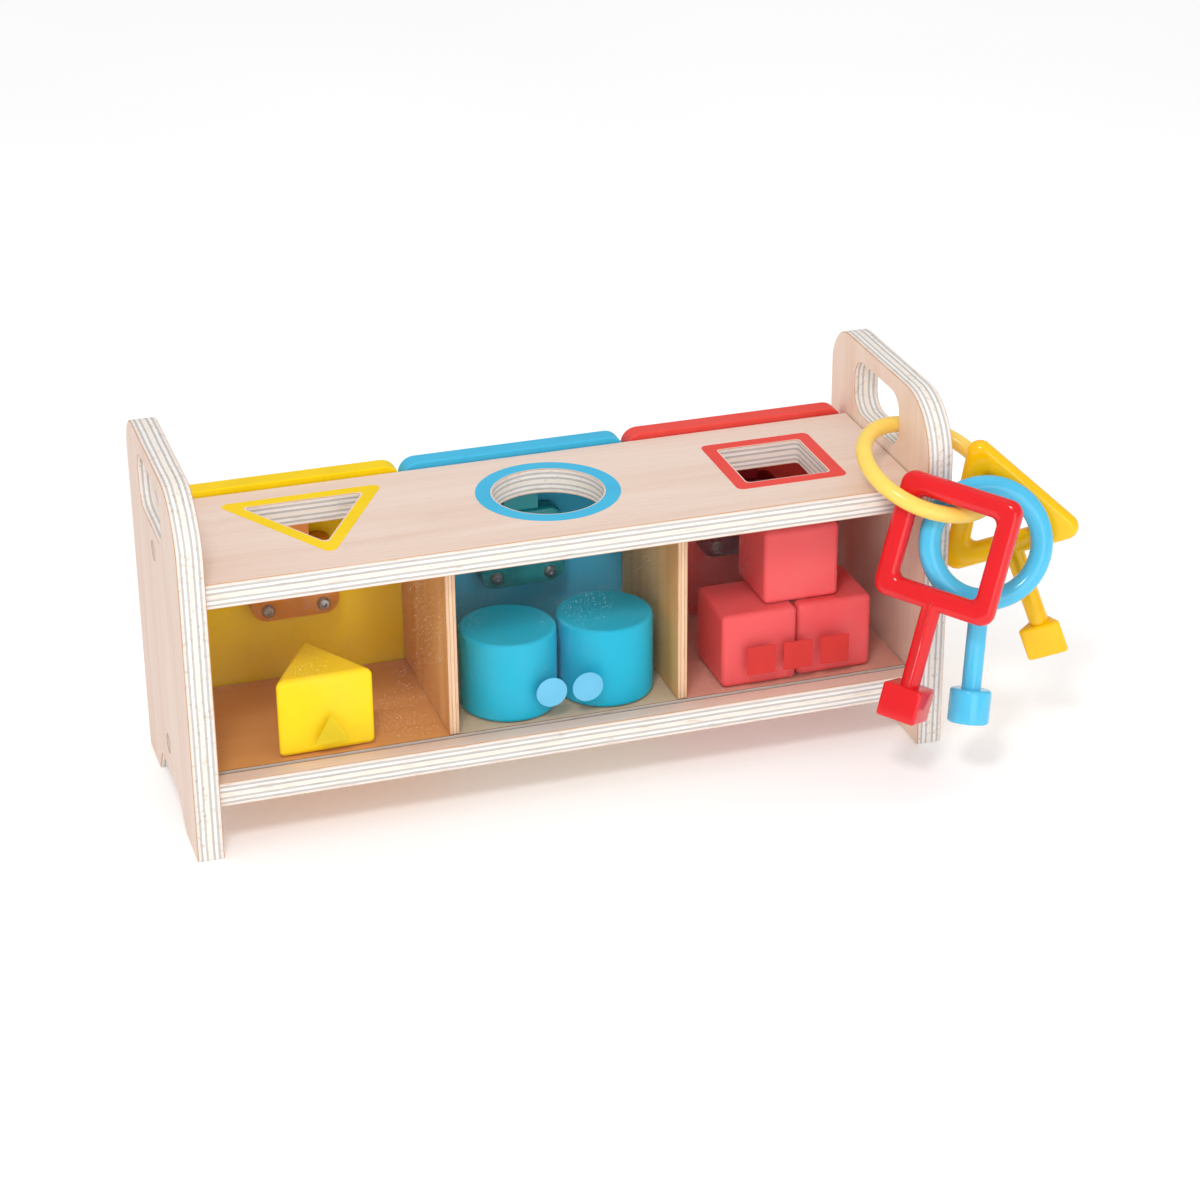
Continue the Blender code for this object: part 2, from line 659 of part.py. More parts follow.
def hand_frame_outlines(index):
    """Outer and inner outline of the triangular or square hand frame, in its X-Z plane."""
    if index == 0:
        reach = KEY_TRIANGLE / math.sqrt(3)
        grown = (reach + 2 * KEY_BAR, reach - 2 * KEY_BAR)
        return [rounded(polygon((0.0, 0.0), g, 3, math.pi / 2), r, 5) for g, r in zip(grown, KEY_TRIANGLE_R)]
    grown = (2 * (KEY_SQUARE + KEY_BAR), 2 * (KEY_SQUARE - KEY_BAR))
    return [rounded(square_outline(g), r, 5) for g, r in zip(grown, KEY_SQUARE_R)]


def frame_foot(index):
    """How far below the frame's centre its lowest bar's centre line runs."""
    if index == 1:
        return KEY_ROUND
    if index == 2:
        return KEY_SQUARE
    return KEY_TRIANGLE / (2 * math.sqrt(3))


def hand_frame(index, name, finish):
    """A key's hand frame: a round ring, or a flat loop with rounded bars."""
    bm = bmesh.new()
    if index == 1:
        torus(bm, KEY_ROUND, KEY_BAR, 40, 12, Matrix.Rotation(math.pi / 2, 4, "X"))
        return add_object(name, mesh_from(bm, name), finish)
    outer, inner = hand_frame_outlines(index)
    loops = []
    for outline in (outer, inner):
        for level in (-KEY_HALF_T, KEY_HALF_T):
            loops.append([bm.verts.new((a, level, b)) for a, b in outline])
    outer_near, outer_far, inner_near, inner_far = loops
    sides = ((outer_near, outer_far), (outer_far, inner_far), (inner_far, inner_near), (inner_near, outer_near))
    for k in range(len(outer)):
        j = (k + 1) % len(outer)
        for a, b in sides:
            bm.faces.new((a[k], a[j], b[j], b[k]))
    loop = add_object(name, mesh_from(bm, name), finish)
    break_edges(loop, KEY_BAR_EDGE, 3)
    return loop


def key(index):
    """One moulded key: hand frame, shaft and shaped bit in a single body."""
    colour = COLOURS[index]
    body = hand_frame(index, colour + "_key", colour + "_plastic")
    foot = frame_foot(index)
    tip = foot + KEY_BAR + KEY_SHAFT
    shaft = pin(colour + "_key_shaft", "Z", place(0, 0, 0), KEY_SHAFT_R, -tip - 0.001, -foot - 0.0008, 12)
    outline = key_section(index, KEY_BIT_W)
    bit = prism(colour + "_key_bit", outline, "Z", -tip - KEY_BIT_L, -tip)
    break_edges(bit, 0.0008, 2)
    centre, angles = KEY_POSES[colour]
    yaw, lean, spin = (math.radians(a) for a in angles)
    turn = Matrix.Rotation(yaw, 4, "Z") @ Matrix.Rotation(lean, 4, "X") @ Matrix.Rotation(spin, 4, "Y")
    for piece in (body, shaft, bit):
        piece.matrix_world = Matrix.Translation(centre) @ turn
    join(body, shaft)
    join(body, bit)
    return body


# --- the whole toy -------------------------------------------------------------
def place_origin():
    """Move everything so that the origin is the footprint's centre."""
    for obj in bpy.data.objects:
        if obj.parent is None:
            obj.matrix_world = Matrix.Translation(-ORIGIN) @ obj.matrix_world


def main():
    for obj in list(bpy.data.objects):
        bpy.data.objects.remove(obj, do_unlink=True)
    end_panel("left")
    end_panel("right")
    top_shelf()
    shelf("bottom_shelf", FLOOR_Z)
    dividers()
    window()
    frame_fasteners()
    hinge_rod()
    for index in range(3):
        door(index)
        lock_housing(index)
        lock_rotor(index)
        lock_bolt(index)
        lock_screws(index)
        key(index)
    blocks()
    key_ring()
    bpy.context.view_layer.update()
    place_origin()


main()
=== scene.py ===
"""Looks of the wooden shape sorter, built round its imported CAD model.

Metres, +Z up, in the CAD's own frame: the origin is on the table under the
centre of the whole footprint.
"""

import math

import bmesh
import bpy
from mathutils import Matrix, Vector


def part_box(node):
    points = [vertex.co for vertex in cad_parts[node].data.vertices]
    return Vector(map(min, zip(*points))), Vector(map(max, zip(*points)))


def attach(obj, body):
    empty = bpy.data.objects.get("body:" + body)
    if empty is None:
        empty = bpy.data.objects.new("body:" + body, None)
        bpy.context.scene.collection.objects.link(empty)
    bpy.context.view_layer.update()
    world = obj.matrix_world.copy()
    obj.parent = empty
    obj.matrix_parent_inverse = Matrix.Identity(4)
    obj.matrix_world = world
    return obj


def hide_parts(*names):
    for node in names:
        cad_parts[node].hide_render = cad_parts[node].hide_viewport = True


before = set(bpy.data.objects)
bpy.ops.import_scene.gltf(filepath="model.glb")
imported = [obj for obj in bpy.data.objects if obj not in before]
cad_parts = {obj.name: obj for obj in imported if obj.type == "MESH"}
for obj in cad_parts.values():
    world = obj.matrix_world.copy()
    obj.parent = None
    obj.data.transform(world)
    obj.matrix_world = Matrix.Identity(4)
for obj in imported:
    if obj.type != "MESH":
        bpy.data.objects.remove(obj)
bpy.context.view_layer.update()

# --- sizes taken from the frame --------------------------------------------
CASE_LOW = Vector(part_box("left_end_panel")[0])
SHELF_LOW, SHELF_HIGH = (Vector(corner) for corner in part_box("top_shelf"))
FLOOR_LOW, FLOOR_HIGH = (Vector(corner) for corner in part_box("bottom_shelf"))
WINDOW_LOW, WINDOW_HIGH = (Vector(corner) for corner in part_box("front_window"))
LEFT_X = CASE_LOW.x               # outer face of the left end panel
FRONT_Y = CASE_LOW.y              # front edges of the end panels

# --- sizes of what only scene.py makes (metres) -----------------------------
HOLE_PITCH = 0.0921               # openings of the top shelf, as in the CAD
HOLE_MID_X = 0.1519
HOLE_Y = 0.0458
TRIANGLE_SHIFT = 0.0009
TRIANGLE_Y = 0.0543
TRIANGLE_HOLE = 0.0469
ROUND_HOLE = 0.0216
SQUARE_HOLE = 0.0340
# corners of the painted borders: inner and outer outline
HOLE_CORNER_R = {"triangle": (0.0017, 0.0028), "square": (0.0018, 0.0028)}
BORDER_WIDTH = {"triangle": 0.0048, "round": 0.0058, "square": 0.0050}
BORDER_LIP = 0.0006               # bare wood left at the edge of an opening
FILM = 0.00012                    # thickness of a coat of printed ink

PRINT_Z = 0.0424                  # middle of the printed discs and squares
PRINT_TRIANGLE = (0.0558, 0.0395)  # middle of the printed triangle: across, up
PRINT_TRIANGLE_R = 0.0081         # middle to corner
PRINT_DISC_X = (0.1420, 0.1565)
PRINT_DISC_R = 0.0061
PRINT_SQUARE_X = (0.2276, 0.2429, 0.2582)
PRINT_SQUARE_HALF = 0.0060
PRINT_CORNER_R = {"triangle": 0.0006, "square": 0.0005}

PRISM_SIDE = 0.0385               # blocks
PRISM_TURN = math.radians(1.0)
CYLINDER_R = 0.0190
CUBE_HALF = 0.0155
BLOCK_EDGE = {"prism": 0.0024, "cylinder": 0.0016, "cube": 0.0022}

KEY_BAR = 0.0043                  # half width of a hand frame's bars
KEY_HALF_T = 0.0037
KEY_BAR_EDGE = 0.0033             # rounding of the bars
KEY_SQUARE = 0.0205               # half side of the square frame, to the bar's middle
KEY_SQUARE_R = (0.0055, 0.0028)   # outer and inner corners
KEY_TRIANGLE_R = (0.0050, 0.0020)
KEY_ROUND = 0.0218                # radius of the round frame
KEY_TRIANGLE = 0.0466             # side of the triangular frame, to the bar's middle
KEY_SHAFT = 0.0303
KEY_SHAFT_R = 0.0038
KEY_BIT_L = 0.0134
KEY_BIT_W = 0.0161
KEY_BIT_TRIANGLE = 1.16           # side of the triangular bit, in widths of the others
KEY_BIT_R = {"yellow": 0.0016, "red": 0.0014}
KEY_BIT_EDGE = 0.0012
SHAFT_INTO_BIT = 0.001            # overlaps that let the parts join into one body
SHAFT_INTO_FRAME = 0.0008         # how far below the bar's middle the shaft starts
KEY_POSES = {
    # frame centre from the left front corner of the case; turn, lean, spin
    "red": ((0.29004, -0.02079, 0.09554), (-45.41, -19.03, 6.48)),
    "blue": ((0.30806, -0.01565, 0.09267), (-12.45, -18.77, 7.14)),
    "yellow": ((0.32047, -0.00148, 0.09796), (-29.12, -2.12, -20.99)),
}
RING_CENTRE = (0.2939, 0.0089, 0.1155)
RING_NORMAL = Vector((0.222, -0.328, 0.918))
RING_R = 0.0265
RING_TUBE_R = 0.0032

TABLE_HALF = 6.0                  # half side of the table top
TABLE_GLOW = 0.15
LIGHT_TARGET = (0.0, 0.03, 0.06)
LIGHTS = (                        # name, place, side, watts
    ("key_light", (-0.35, -0.65, 0.95), 0.20, 3.6),
    ("front_light", (0.1, -1.5, 0.40), 0.9, 4.2),
    ("top_light", (0.1, 0.5, 1.6), 1.4, 1.5),
)
SKY = 0.80                        # strength of the surroundings
SKY_IN_REFLECTIONS = 0.35
CAMERA_PLACE = (-0.1509, -0.9777, 0.5778)    # from the case's left front corner
CAMERA_TURN = math.radians(17.53)            # to the right
CAMERA_DOWN = math.radians(25.69)
CAMERA_ROLL = math.radians(-0.53)
LENS = 91.04                      # millimetres, on a sensor 36 mm wide

COLOURS = ("yellow", "blue", "red")


# --- colours ----------------------------------------------------------------
def colour(code):
    """A hex sRGB colour as linear RGBA."""
    parts = [int(code[i:i + 2], 16) / 255 for i in (0, 2, 4)]
    linear = [p / 12.92 if p <= 0.04045 else ((p + 0.055) / 1.055) ** 2.4 for p in parts]
    return (*linear, 1.0)


PAINT = {"yellow": "F8D200", "blue": "42B8E0", "red": "EB4B42"}
BLOCK = {"yellow": "FFD800", "blue": "12B2D2", "red": "EE585A"}
PLASTIC = {"yellow": "FFC400", "blue": "52C2EA", "red": "E21B22"}
COVER = {"yellow": "F59A28", "blue": "1FA0A8", "red": "8A1420"}
INK = {"yellow": "F0D200", "blue": "70CAF0", "red": "DE2A22"}
INK_COVER = {"yellow": 0.72, "blue": 0.88, "red": 0.85}
RING_COLOUR = "FBD766"
ZINC = ("8E9094", "C9CACC")
YELLOW_ZINC = ("A98255", "D8B98E")
BEECH = ("DDB68C", "C99A6B", "B5834F")
WHITE = (1.0, 1.0, 1.0, 1.0)


# --- node helpers -------------------------------------------------------------
class Nodes:
    """A material's node tree with short ways to add nodes."""

    def __init__(self, name):
        self.material = bpy.data.materials.new(name)
        self.material.use_nodes = True
        self.tree = self.material.node_tree
        self.shader = self.tree.nodes["Principled BSDF"]
        self.coordinates = self.tree.nodes.new("ShaderNodeTexCoord")

    def link(self, source, target):
        self.tree.links.new(source, target)

    def put(self, node, name, value):
        """Give an input a value or link it to an output."""
        socket = node.inputs[name]
        if isinstance(value, bpy.types.NodeSocket):
            self.link(value, socket)
        else:
            socket.default_value = value

    def math(self, operation, a, b=0.0, clamp=False):
        node = self.tree.nodes.new("ShaderNodeMath")
        node.operation = operation
        node.use_clamp = clamp
        self.put(node, 0, a)
        self.put(node, 1, b)
        return node.outputs[0]

    def stretch(self, scale):
        """Object coordinates multiplied by a scale for each axis."""
        node = self.tree.nodes.new("ShaderNodeMapping")
        self.link(self.coordinates.outputs["Object"], node.inputs["Vector"])
        node.inputs["Scale"].default_value = scale
        return node.outputs["Vector"]

    def noise(self, scale, detail=3.0, roughness=0.5, distortion=0.0):
        node = self.tree.nodes.new("ShaderNodeTexNoise")
        self.link(self.stretch(scale), node.inputs["Vector"])
        node.inputs["Scale"].default_value = 1.0
        node.inputs["Detail"].default_value = detail
        node.inputs["Roughness"].default_value = roughness
        node.inputs["Distortion"].default_value = distortion
        return node.outputs["Fac"]

    def ramp(self, factor, stops, sharp=False):
        """Colour ramp from (position, colour) stops."""
        node = self.tree.nodes.new("ShaderNodeValToRGB")
        ramp = node.color_ramp
        ramp.interpolation = "CONSTANT" if sharp else "LINEAR"
        while len(ramp.elements) < len(stops):
            ramp.elements.new(1.0)
        for element, (position, value) in zip(ramp.elements, stops):
            element.position = position
            element.color = value
        self.link(factor, node.inputs["Fac"])
        return node.outputs["Color"]

    def steps(self, factor, low, high):
        """0 below low, 1 above high, smooth between."""
        node = self.tree.nodes.new("ShaderNodeMapRange")
        node.interpolation_type = "SMOOTHSTEP"
        self.put(node, "Value", factor)
        node.inputs["From Min"].default_value = low
        node.inputs["From Max"].default_value = high
        return node.outputs["Result"]

    def mix(self, factor, a, b, kind="MIX"):
        node = self.tree.nodes.new("ShaderNodeMix")
        node.data_type = "RGBA"
        node.blend_type = kind
        self.put(node, "Factor", factor)
        self.put(node, 6, a)
        self.put(node, 7, b)
        return node.outputs[2]

    def bump(self, height, strength, distance, below=None):
        node = self.tree.nodes.new("ShaderNodeBump")
        node.inputs["Strength"].default_value = strength
        node.inputs["Distance"].default_value = distance
        self.link(height, node.inputs["Height"])
        if below is not None:
            self.link(below, node.inputs["Normal"])
        return node.outputs["Normal"]

    def axis(self, output, which):
        """One component of the object coordinates or the object-space normal."""
        node = self.tree.nodes.new("ShaderNodeSeparateXYZ")
        self.link(self.coordinates.outputs[output], node.inputs[0])
        return node.outputs["XYZ".index(which)]

    def finish(self, **values):
        for name, value in values.items():
            self.put(self.shader, name.replace("_", " "), value)
        return self.material


# --- wood ---------------------------------------------------------------------
VENEER = ("ECD7CA", "E8CFC0", "DFC1AE")          # light, middle and dark grain
# the same veneer painted lighter for the right panel: painted light where it gets less light
PAINTED_LIGHT_VENEER = ("F4E0CF", "F0D8C5", "E8CAB3")
# the dividers' veneer: wood tone, warmed with painted coloured bounce light from the doors
DIVIDER_VENEER_AND_BOUNCE = ("F6C78A", "EAB068", "DA9A50")
SCORCH = "C79468"                                # thin line along a machined edge
# colour of the painted shadow in the window's groove
GROOVE_SHADOW = "5E4128"
PLIES = (                                        # depth through the board, tone
    (0.00, "C89C76"), (0.022, "ECE1DA"), (0.125, "C2BDBA"), (0.205, "F0ECE8"), (0.320, "C6C1BE"),
    (0.400, "EFE7DE"), (0.580, "C1BCB9"), (0.665, "F0ECE8"), (0.780, "C5C0BD"), (0.870, "ECE1DA"),
    (0.978, "C89C76"),
)
INSIDE_BOUNCE_LIGHT = (                                 # from x, to x, tone of painted coloured bounce light and shade on the wood
    (0.0100, 0.1037, "F4C680"), (0.1037, 0.1956, "EDE8D2"), (0.1956, 0.2900, "F3C8C0"),
)
THIN_PLIES = (
    (0.00, "C98E62"), (0.06, "E3BC98"), (0.30, "C99873"), (0.38, "E8C6A4"), (0.64, "C89670"),
    (0.72, "E2BA96"), (0.94, "C98E62"),
)


def along(grain, fine, coarse):
    """Noise scale: coarse along the grain, fine across it."""
    return tuple(coarse if name == grain else fine for name in "XYZ")


def wood_face(n, grain, shades):
    """Colour and height of a veneer with its grain along one axis."""
    broad = n.noise(along(grain, 70.0, 5.0), 4.0, 0.55, 0.6)
    streaks = n.noise(along(grain, 900.0, 14.0), 3.0, 0.6)
    pores = n.noise(along(grain, 2600.0, 160.0), 2.0, 0.5)
    base = n.ramp(broad, [(0.30, colour(shades[0])), (0.55, colour(shades[1])), (0.80, colour(shades[2]))])
    fine = n.ramp(streaks, [(0.35, WHITE), (0.75, (0.94, 0.91, 0.88, 1.0))])
    dots = n.ramp(pores, [(0.60, WHITE), (0.74, (0.80, 0.70, 0.62, 1.0))])
    toned = n.mix(0.9, base, fine, "MULTIPLY")
    return n.mix(0.40, toned, dots, "MULTIPLY"), n.math("ADD", streaks, pores)


def between(n, which, low, high, blur):
    """1 where an object coordinate lies between two values, 0 outside."""
    place = n.axis("Object", which)
    past_low = n.steps(place, low - blur, low + blur)
    past_high = n.steps(place, high - blur, high + blur)
    return n.math("MULTIPLY", past_low, n.math("SUBTRACT", 1.0, past_high))


def painted_compartment_light(n, face):
    """Painted coloured bounce light and shade on the wood behind the window, and a painted shadow line along
    its groove.
    """
    behind = n.steps(n.axis("Object", "Y"), WINDOW_HIGH.y - 0.0002, WINDOW_HIGH.y + 0.0002)
    for low, high, code in INSIDE_BOUNCE_LIGHT:
        within = between(n, "X", LEFT_X + low, LEFT_X + high, 0.0005)
        # painted coloured bounce light and shade, one tone per compartment
        bounce_shaded = n.mix(1.0, face, colour(code), "MULTIPLY")
        face = n.mix(n.math("MULTIPLY", within, behind), face, bounce_shaded)
    # painted shadow line along the window's groove
    groove = between(n, "Y", WINDOW_LOW.y - 0.0007, WINDOW_HIGH.y + 0.0006, 0.0002)
    return n.mix(n.math("MULTIPLY", groove, 0.85), face, colour(GROOVE_SHADOW))


def ply_edge(n, thickness, low, high, edge_along, layers):
    """Colour of the layers on a board's edges, and the noise of their fibres."""
    wobble = n.noise(along(edge_along, 60.0, 22.0), 3.0, 0.6)
    depth = n.math("DIVIDE", n.math("SUBTRACT", n.axis("Object", thickness), low), high - low)
    depth = n.math("ADD", depth, n.math("MULTIPLY", n.math("SUBTRACT", wobble, 0.5), 0.05))
    plies = n.ramp(depth, [(at, colour(code)) for at, code in layers], sharp=True)
    fibre_scale = along(edge_along, 1500.0, 110.0) if edge_along else (520.0, 520.0, 520.0)
    fibres = n.noise(fibre_scale, 4.0, 0.65)
    dark = (0.74, 0.62, 0.46, 1.0)
    yellowish = (1.0, 0.92, 0.74, 1.0)
    speckle = n.ramp(fibres, [(0.32, dark), (0.45, WHITE), (0.56, WHITE), (0.70, yellowish)])
    return n.mix(0.70, plies, speckle, "MULTIPLY"), fibres


def plywood(name, thickness, grain, low, high, edge_along, shades=VENEER, layers=PLIES, inside=False):
    """Plywood: veneered faces, plies on every edge, a scorched line between."""
    n = Nodes(name)
    face, face_height = wood_face(n, grain, shades)
    if inside:
        face = painted_compartment_light(n, face)
    edge, fibres = ply_edge(n, thickness, low, high, edge_along, layers)
    facing = n.math("ABSOLUTE", n.axis("Normal", thickness))
    on_face = n.steps(facing, 0.80, 0.93)
    corner = n.math("MULTIPLY", n.steps(facing, 0.15, 0.45), n.math("SUBTRACT", 1.0, on_face))
    base = n.mix(on_face, edge, face)
    scorched = n.mix(n.math("MULTIPLY", corner, 0.45), base, colour(SCORCH))
    bump = n.bump(n.mix(on_face, fibres, face_height), 0.25, 0.00012)
    rough = n.math("ADD", n.math("MULTIPLY", fibres, 0.18), 0.44)
    return n.finish(Base_Color=scorched, Roughness=rough, Normal=bump, Specular_IOR_Level=0.35)


def solid_wood(name, grain, shades):
    """Plain wood with grain along one axis."""
    n = Nodes(name)
    face, height = wood_face(n, grain, shades)
    bump = n.bump(height, 0.25, 0.00015)
    rough = n.math("ADD", n.math("MULTIPLY", height, 0.12), 0.45)
    return n.finish(Base_Color=face, Roughness=rough, Normal=bump)


# --- paint, plastic, metal -----------------------------------------------------
def painted_wood(name, code, grain):
    """Satin paint that lets a little of the grain show."""
    n = Nodes(name)
    grain_noise = n.noise(along(grain, 700.0, 24.0), 3.0, 0.55)
    clouds = n.noise((38.0, 38.0, 38.0), 3.0, 0.6)
    peel = n.noise((1400.0, 1400.0, 1400.0), 2.0, 0.5)
    base = colour(code)
    deep = tuple(c * 0.93 for c in base[:3]) + (1.0,)
    pale = tuple(min(1.0, c * 0.96 + 0.02) for c in base[:3]) + (1.0,)
    tone = n.ramp(clouds, [(0.25, deep), (0.5, base), (0.8, pale)])
    lines = n.ramp(grain_noise, [(0.30, (0.95, 0.95, 0.95, 1.0)), (0.60, WHITE)])
    shade = n.mix(0.6, tone, lines, "MULTIPLY")
    first = n.bump(grain_noise, 0.20, 0.00010)
    bump = n.bump(peel, 0.10, 0.00005, first)
    rough = n.math("ADD", n.math("MULTIPLY", clouds, 0.16), 0.36)
    return n.finish(Base_Color=shade, Roughness=rough, Normal=bump, Specular_IOR_Level=0.18)


def moulded_plastic(name, code, rough=0.14, subsurface=0.08):
    """Glossy moulded plastic with faint flow marks and fine scratches."""
    n = Nodes(name)
    flow = n.noise((30.0, 30.0, 60.0), 2.0, 0.5, 0.5)
    scratch = n.noise((2400.0, 500.0, 500.0), 2.0, 0.6)
    base = colour(code)
    deep = tuple(c * 0.95 for c in base[:3]) + (1.0,)
    tone = n.ramp(flow, [(0.30, deep), (0.62, base)])
    gloss = n.math("ADD", n.math("MULTIPLY", scratch, 0.06), rough - 0.03)
    bump = n.bump(flow, 0.03, 0.0003, n.bump(scratch, 0.02, 0.00002))
    n.shader.inputs["Subsurface Weight"].default_value = subsurface
    n.shader.inputs["Subsurface Scale"].default_value = 0.003
    return n.finish(Base_Color=tone, Roughness=gloss, Normal=bump)


def clear_plastic(name, code):
    """See-through coloured plastic of the lock covers."""
    n = Nodes(name)
    flow = n.noise((120.0, 120.0, 120.0), 3.0, 0.5, 0.6)
    base = colour(code)
    deep = tuple(c * 0.7 for c in base[:3]) + (1.0,)
    tone = n.ramp(flow, [(0.25, deep), (0.7, base)])
    bump = n.bump(flow, 0.10, 0.0003)
    rough = n.math("ADD", n.math("MULTIPLY", flow, 0.10), 0.10)
    n.shader.inputs["Transmission Weight"].default_value = 0.30
    n.shader.inputs["IOR"].default_value = 1.45
    return n.finish(Base_Color=tone, Roughness=rough, Normal=bump)


def acrylic(name):
    """Clear sheet: a faint mirror over what is behind it, with dust specks."""
    n = Nodes(name)
    dust = n.noise((2300.0, 2300.0, 2300.0), 1.0, 0.5)
    patches = n.noise((26.0, 26.0, 26.0), 3.0, 0.6)
    specks = n.math("MULTIPLY", n.steps(dust, 0.685, 0.73), n.steps(patches, 0.38, 0.62))
    shine = n.math("ADD", n.math("MULTIPLY", patches, 0.006), 0.003)
    alpha = n.math("ADD", shine, n.math("MULTIPLY", specks, 0.35), True)
    tint = n.ramp(patches, [(0.2, colour("F4F7FA")), (0.8, colour("FFFFFF"))])
    rough = n.math("ADD", n.math("MULTIPLY", specks, 0.5), 0.02)
    mirror = n.math("SUBTRACT", 1.0, specks, True)
    n.material.surface_render_method = "BLENDED"
    return n.finish(Base_Color=tint, Metallic=mirror, Roughness=rough, Alpha=alpha)


def ink(name, code, cover):
    """Screen-printed ink, thin enough to let some of what is behind through."""
    n = Nodes(name)
    grain = n.noise((2200.0, 2200.0, 2200.0), 2.0, 0.6)
    clouds = n.noise((90.0, 90.0, 90.0), 2.0, 0.5)
    base = colour(code)
    deep = tuple(c * 0.9 for c in base[:3]) + (1.0,)
    tone = n.ramp(clouds, [(0.3, deep), (0.7, base)])
    alpha = n.math("ADD", n.math("MULTIPLY", grain, 0.10), cover - 0.05, True)
    bump = n.bump(grain, 0.15, 0.00003)
    n.material.surface_render_method = "BLENDED"
    return n.finish(Base_Color=tone, Alpha=alpha, Normal=bump, Roughness=n.math("ADD", grain, 0.0, True))


def brushed_steel(name, shades):
    """Plated steel with turning marks."""
    n = Nodes(name)
    marks = n.noise((60.0, 2500.0, 2500.0), 3.0, 0.6)
    tone = n.ramp(marks, [(0.3, colour(shades[0])), (0.7, colour(shades[1]))])
    rough = n.math("ADD", n.math("MULTIPLY", marks, 0.22), 0.20)
    n.shader.inputs["Metallic"].default_value = 1.0
    return n.finish(Base_Color=tone, Roughness=rough, Normal=n.bump(marks, 0.1, 0.00004))


# --- mesh helpers --------------------------------------------------------------
def add(name, data, material):
    """Put a mesh in the scene with its material."""
    obj = bpy.data.objects.new(name, data)
    bpy.context.scene.collection.objects.link(obj)
    data.materials.clear()
    data.materials.append(material)
    return obj


def smooth(data, degrees):
    """Smooth shading with sharp edges kept above an angle."""
    data.shade_smooth()
    data.set_sharp_from_angle(angle=math.radians(degrees))


def mesh(bm, name, degrees=35.0):
    """Turn a bmesh into a mesh, faces outward."""
    bmesh.ops.recalc_face_normals(bm, faces=bm.faces[:])
    data = bpy.data.meshes.new(name)
    bm.to_mesh(data)
    bm.free()
    smooth(data, degrees)
    return data


def soften(obj, width, segments=3, degrees=35.0):
    """Round the sharp edges with a bevel and keep the flats flat."""
    step = obj.modifiers.new("soft_edges", "BEVEL")
    step.width = width
    step.segments = segments
    step.limit_method = "ANGLE"
    step.angle_limit = math.radians(degrees)
    step.harden_normals = True


def polish(node, material, body, degrees=28.0):
    """A clean, smoothly shaded copy of a CAD node that stands for it."""
    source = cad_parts[node]
    bm = bmesh.new()
    bm.from_mesh(source.data)
    bm.transform(source.matrix_world)
    bmesh.ops.remove_doubles(bm, verts=bm.verts[:], dist=0.000002)
    flat = math.radians(0.4)
    bmesh.ops.dissolve_limit(bm, angle_limit=flat, verts=bm.verts[:], edges=bm.edges[:])
    data = bpy.data.meshes.new(node + "_finish")
    bm.to_mesh(data)
    bm.free()
    for layer in ("custom_normal", "sharp_face", "sharp_edge"):
        if layer in data.attributes:
            data.attributes.remove(data.attributes[layer])
    smooth(data, degrees)
    obj = add(node + "_finish", data, material)
    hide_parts(node)
    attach(obj, body)


def rounded(corners, radius, steps=8):
    """A closed outline whose corners are tangent arcs."""
    points = []
    count = len(corners)
    for k in range(count):
        here = Vector(corners[k])
        back = (Vector(corners[k - 1]) - here).normalized()
        ahead = (Vector(corners[(k + 1) % count]) - here).normalized()
        half = back.angle(ahead) / 2
        centre = here + (back + ahead).normalized() * (radius / math.sin(half))
        start = here + back * (radius / math.tan(half)) - centre
        end = here + ahead * (radius / math.tan(half)) - centre
        sweep = start.angle_signed(end)
        for i in range(steps + 1):
            points.append(tuple(centre + Matrix.Rotation(-sweep * i / steps, 2) @ start))
    return points


def polygon(centre, radius, count, turn):
    """Corners of a regular polygon."""
    angles = [turn + 2 * math.pi * k / count for k in range(count)]
    return [(centre[0] + radius * math.cos(a), centre[1] + radius * math.sin(a)) for a in angles]


def extrude(bm, outline, low, high, upright="Z"):
    """Add a closed prism to a bmesh."""
    def point(a, b, level):
        return (a, b, level) if upright == "Z" else (a, level, b)

    face = bm.faces.new([bm.verts.new(point(a, b, low)) for a, b in outline])
    grown = bmesh.ops.extrude_face_region(bm, geom=[face])
    moved = [item for item in grown["geom"] if isinstance(item, bmesh.types.BMVert)]
    bmesh.ops.translate(bm, verts=moved, vec=Vector(point(0, 0, high - low)))


def band(name, inner, outer, low, high, material):
    """A flat ring between two outlines with the same number of points."""
    bm = bmesh.new()
    layers = []
    for level in (low, high):
        for outline in (inner, outer):
            layers.append([bm.verts.new((a, b, level)) for a, b in outline])
    inner_low, outer_low, inner_high, outer_high = layers
    skin(bm, (inner_low, outer_low, outer_high, inner_high))
    return add(name, mesh(bm, name), material)


def case(x, y, z=0.0):
    """A point measured from the case's left front corner on the table."""
    return Vector((LEFT_X + x, FRONT_Y + y, z))


# --- painted borders and printed shapes --------------------------------------
def opening_outlines(kind):
    """Inner and outer outline of the paint round one opening."""
    grow = (BORDER_LIP, BORDER_LIP + BORDER_WIDTH[kind])
    index = ("triangle", "round", "square").index(kind)
    middle = case(HOLE_MID_X + (index - 1) * HOLE_PITCH, HOLE_Y)
    if kind == "round":
        return [polygon(middle, ROUND_HOLE + g, 96, 0.0) for g in grow]
    if kind == "square":
        outlines = []
        for g, radius in zip(grow, HOLE_CORNER_R[kind]):
            half = SQUARE_HOLE / 2 + g
            corners = [(-half, -half), (half, -half), (half, half), (-half, half)]
            corners = [(middle.x + a, middle.y + b) for a, b in corners]
            outlines.append(rounded(corners, radius))
        return outlines
    centre = (middle.x + TRIANGLE_SHIFT, case(0, TRIANGLE_Y).y)
    reach = TRIANGLE_HOLE / math.sqrt(3)
    corners = [polygon(centre, reach + 2 * g, 3, -math.pi / 2) for g in grow]
    return [rounded(outline, radius) for outline, radius in zip(corners, HOLE_CORNER_R[kind])]


